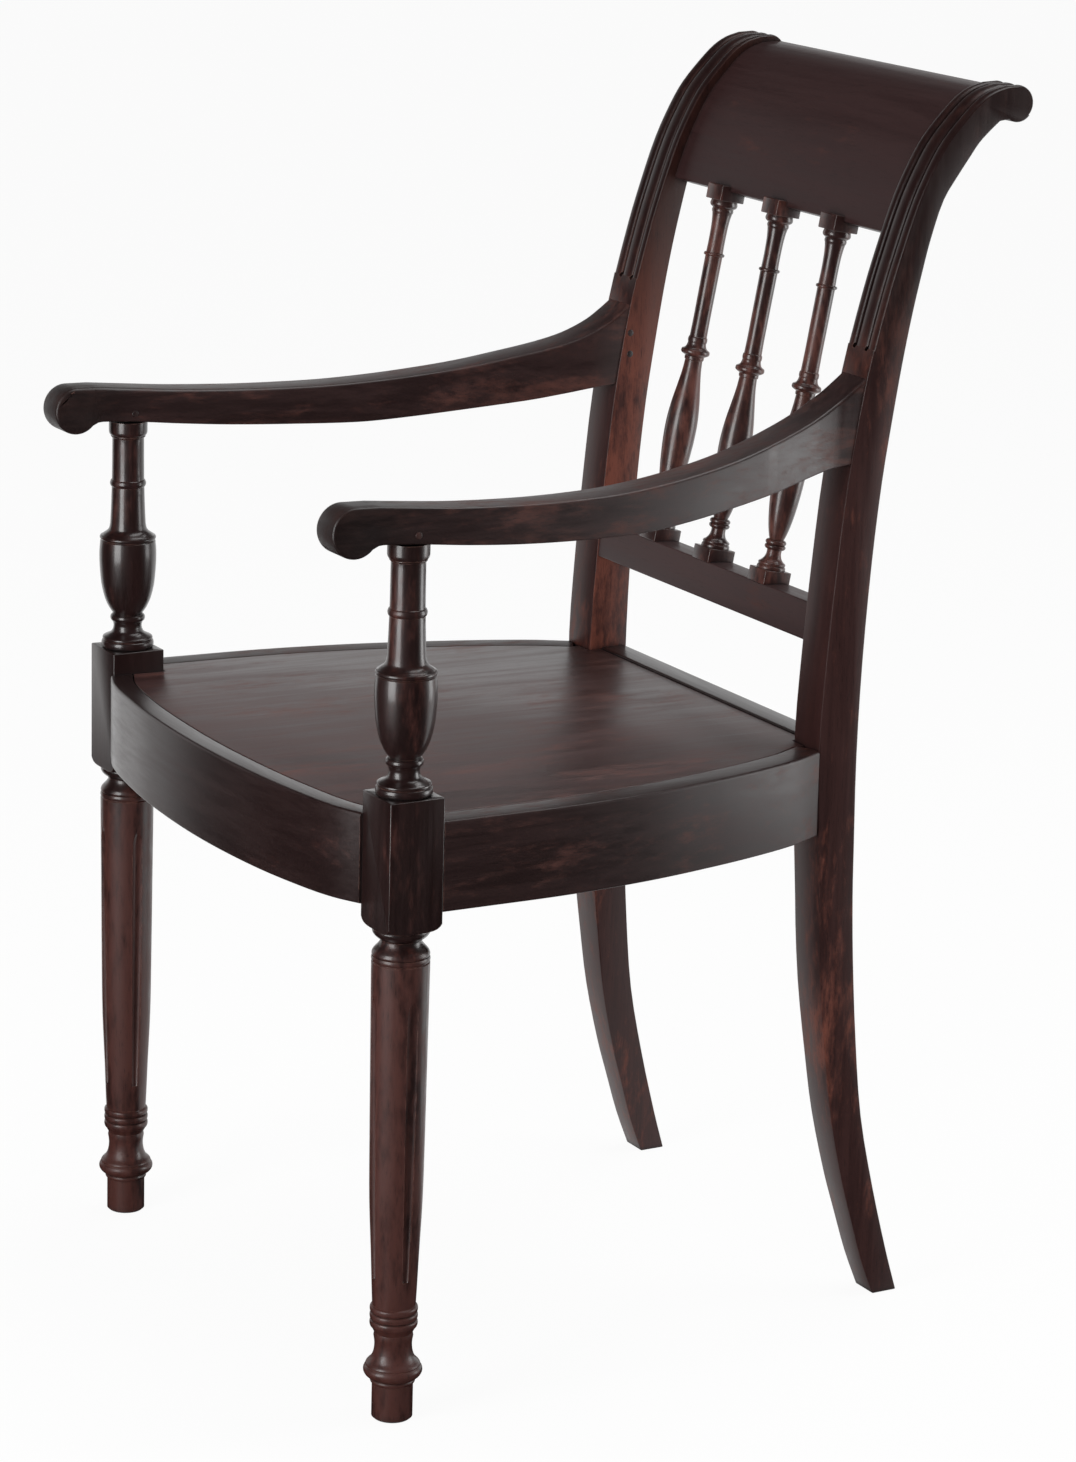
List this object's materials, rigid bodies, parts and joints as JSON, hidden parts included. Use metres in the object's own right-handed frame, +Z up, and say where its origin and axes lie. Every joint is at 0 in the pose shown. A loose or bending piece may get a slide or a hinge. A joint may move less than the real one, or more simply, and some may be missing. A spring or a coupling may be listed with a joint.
{
  "type": "armchair",
  "caption": "Dark polished wooden armchair with a scrolled back, turned spindles, swept arms, turned and fluted front legs, sabre rear legs and a boarded seat.",
  "frame": {"origin": "on the floor, under the middle of the whole chair", "axes": "+Z up, the chair faces -Y, +X is the sitter's left"},
  "size_m": [0.508, 0.6066, 0.9405],
  "materials": {
    "frame_wood": "dark polished mahogany, worn redder at the edges",
    "arm_wood": "dark mahogany polished by hands",
    "seat_wood": "dark mahogany boards with a soft worn sheen",
    "turned_wood": "dark glossy turned mahogany",
    "inner_wood": "plain unpolished wood",
    "peg_wood": "dark end grain",
    "screw_steel": "dull old steel"
  },
  "bodies": {
    "root": {"front_leg_left": "turned_wood", "rear_upright_left": "frame_wood", "arm_left": "arm_wood", "side_rail_left": "frame_wood", "arm_pin_left": "peg_wood", "arm_peg_upper_left": "peg_wood", "arm_peg_lower_left": "peg_wood", "corner_block_front_left": "inner_wood", "side_screw_front_left": "screw_steel", "cross_screw_front_left": "screw_steel", "corner_block_rear_left": "inner_wood", "side_screw_rear_left": "screw_steel", "cross_screw_rear_left": "screw_steel", "front_leg_right": "turned_wood", "rear_upright_right": "frame_wood", "arm_right": "arm_wood", "side_rail_right": "frame_wood", "arm_pin_right": "peg_wood", "arm_peg_upper_right": "peg_wood", "arm_peg_lower_right": "peg_wood", "corner_block_front_right": "inner_wood", "side_screw_front_right": "screw_steel", "cross_screw_front_right": "screw_steel", "corner_block_rear_right": "inner_wood", "side_screw_rear_right": "screw_steel", "cross_screw_rear_right": "screw_steel", "front_rail": "frame_wood", "rear_rail": "frame_wood", "seat_panel": "seat_wood", "stay_rail": "frame_wood", "crest_rail": "frame_wood", "spindle_left": "turned_wood", "spindle_centre": "turned_wood", "spindle_right": "turned_wood"}
  },
  "joints": []
}
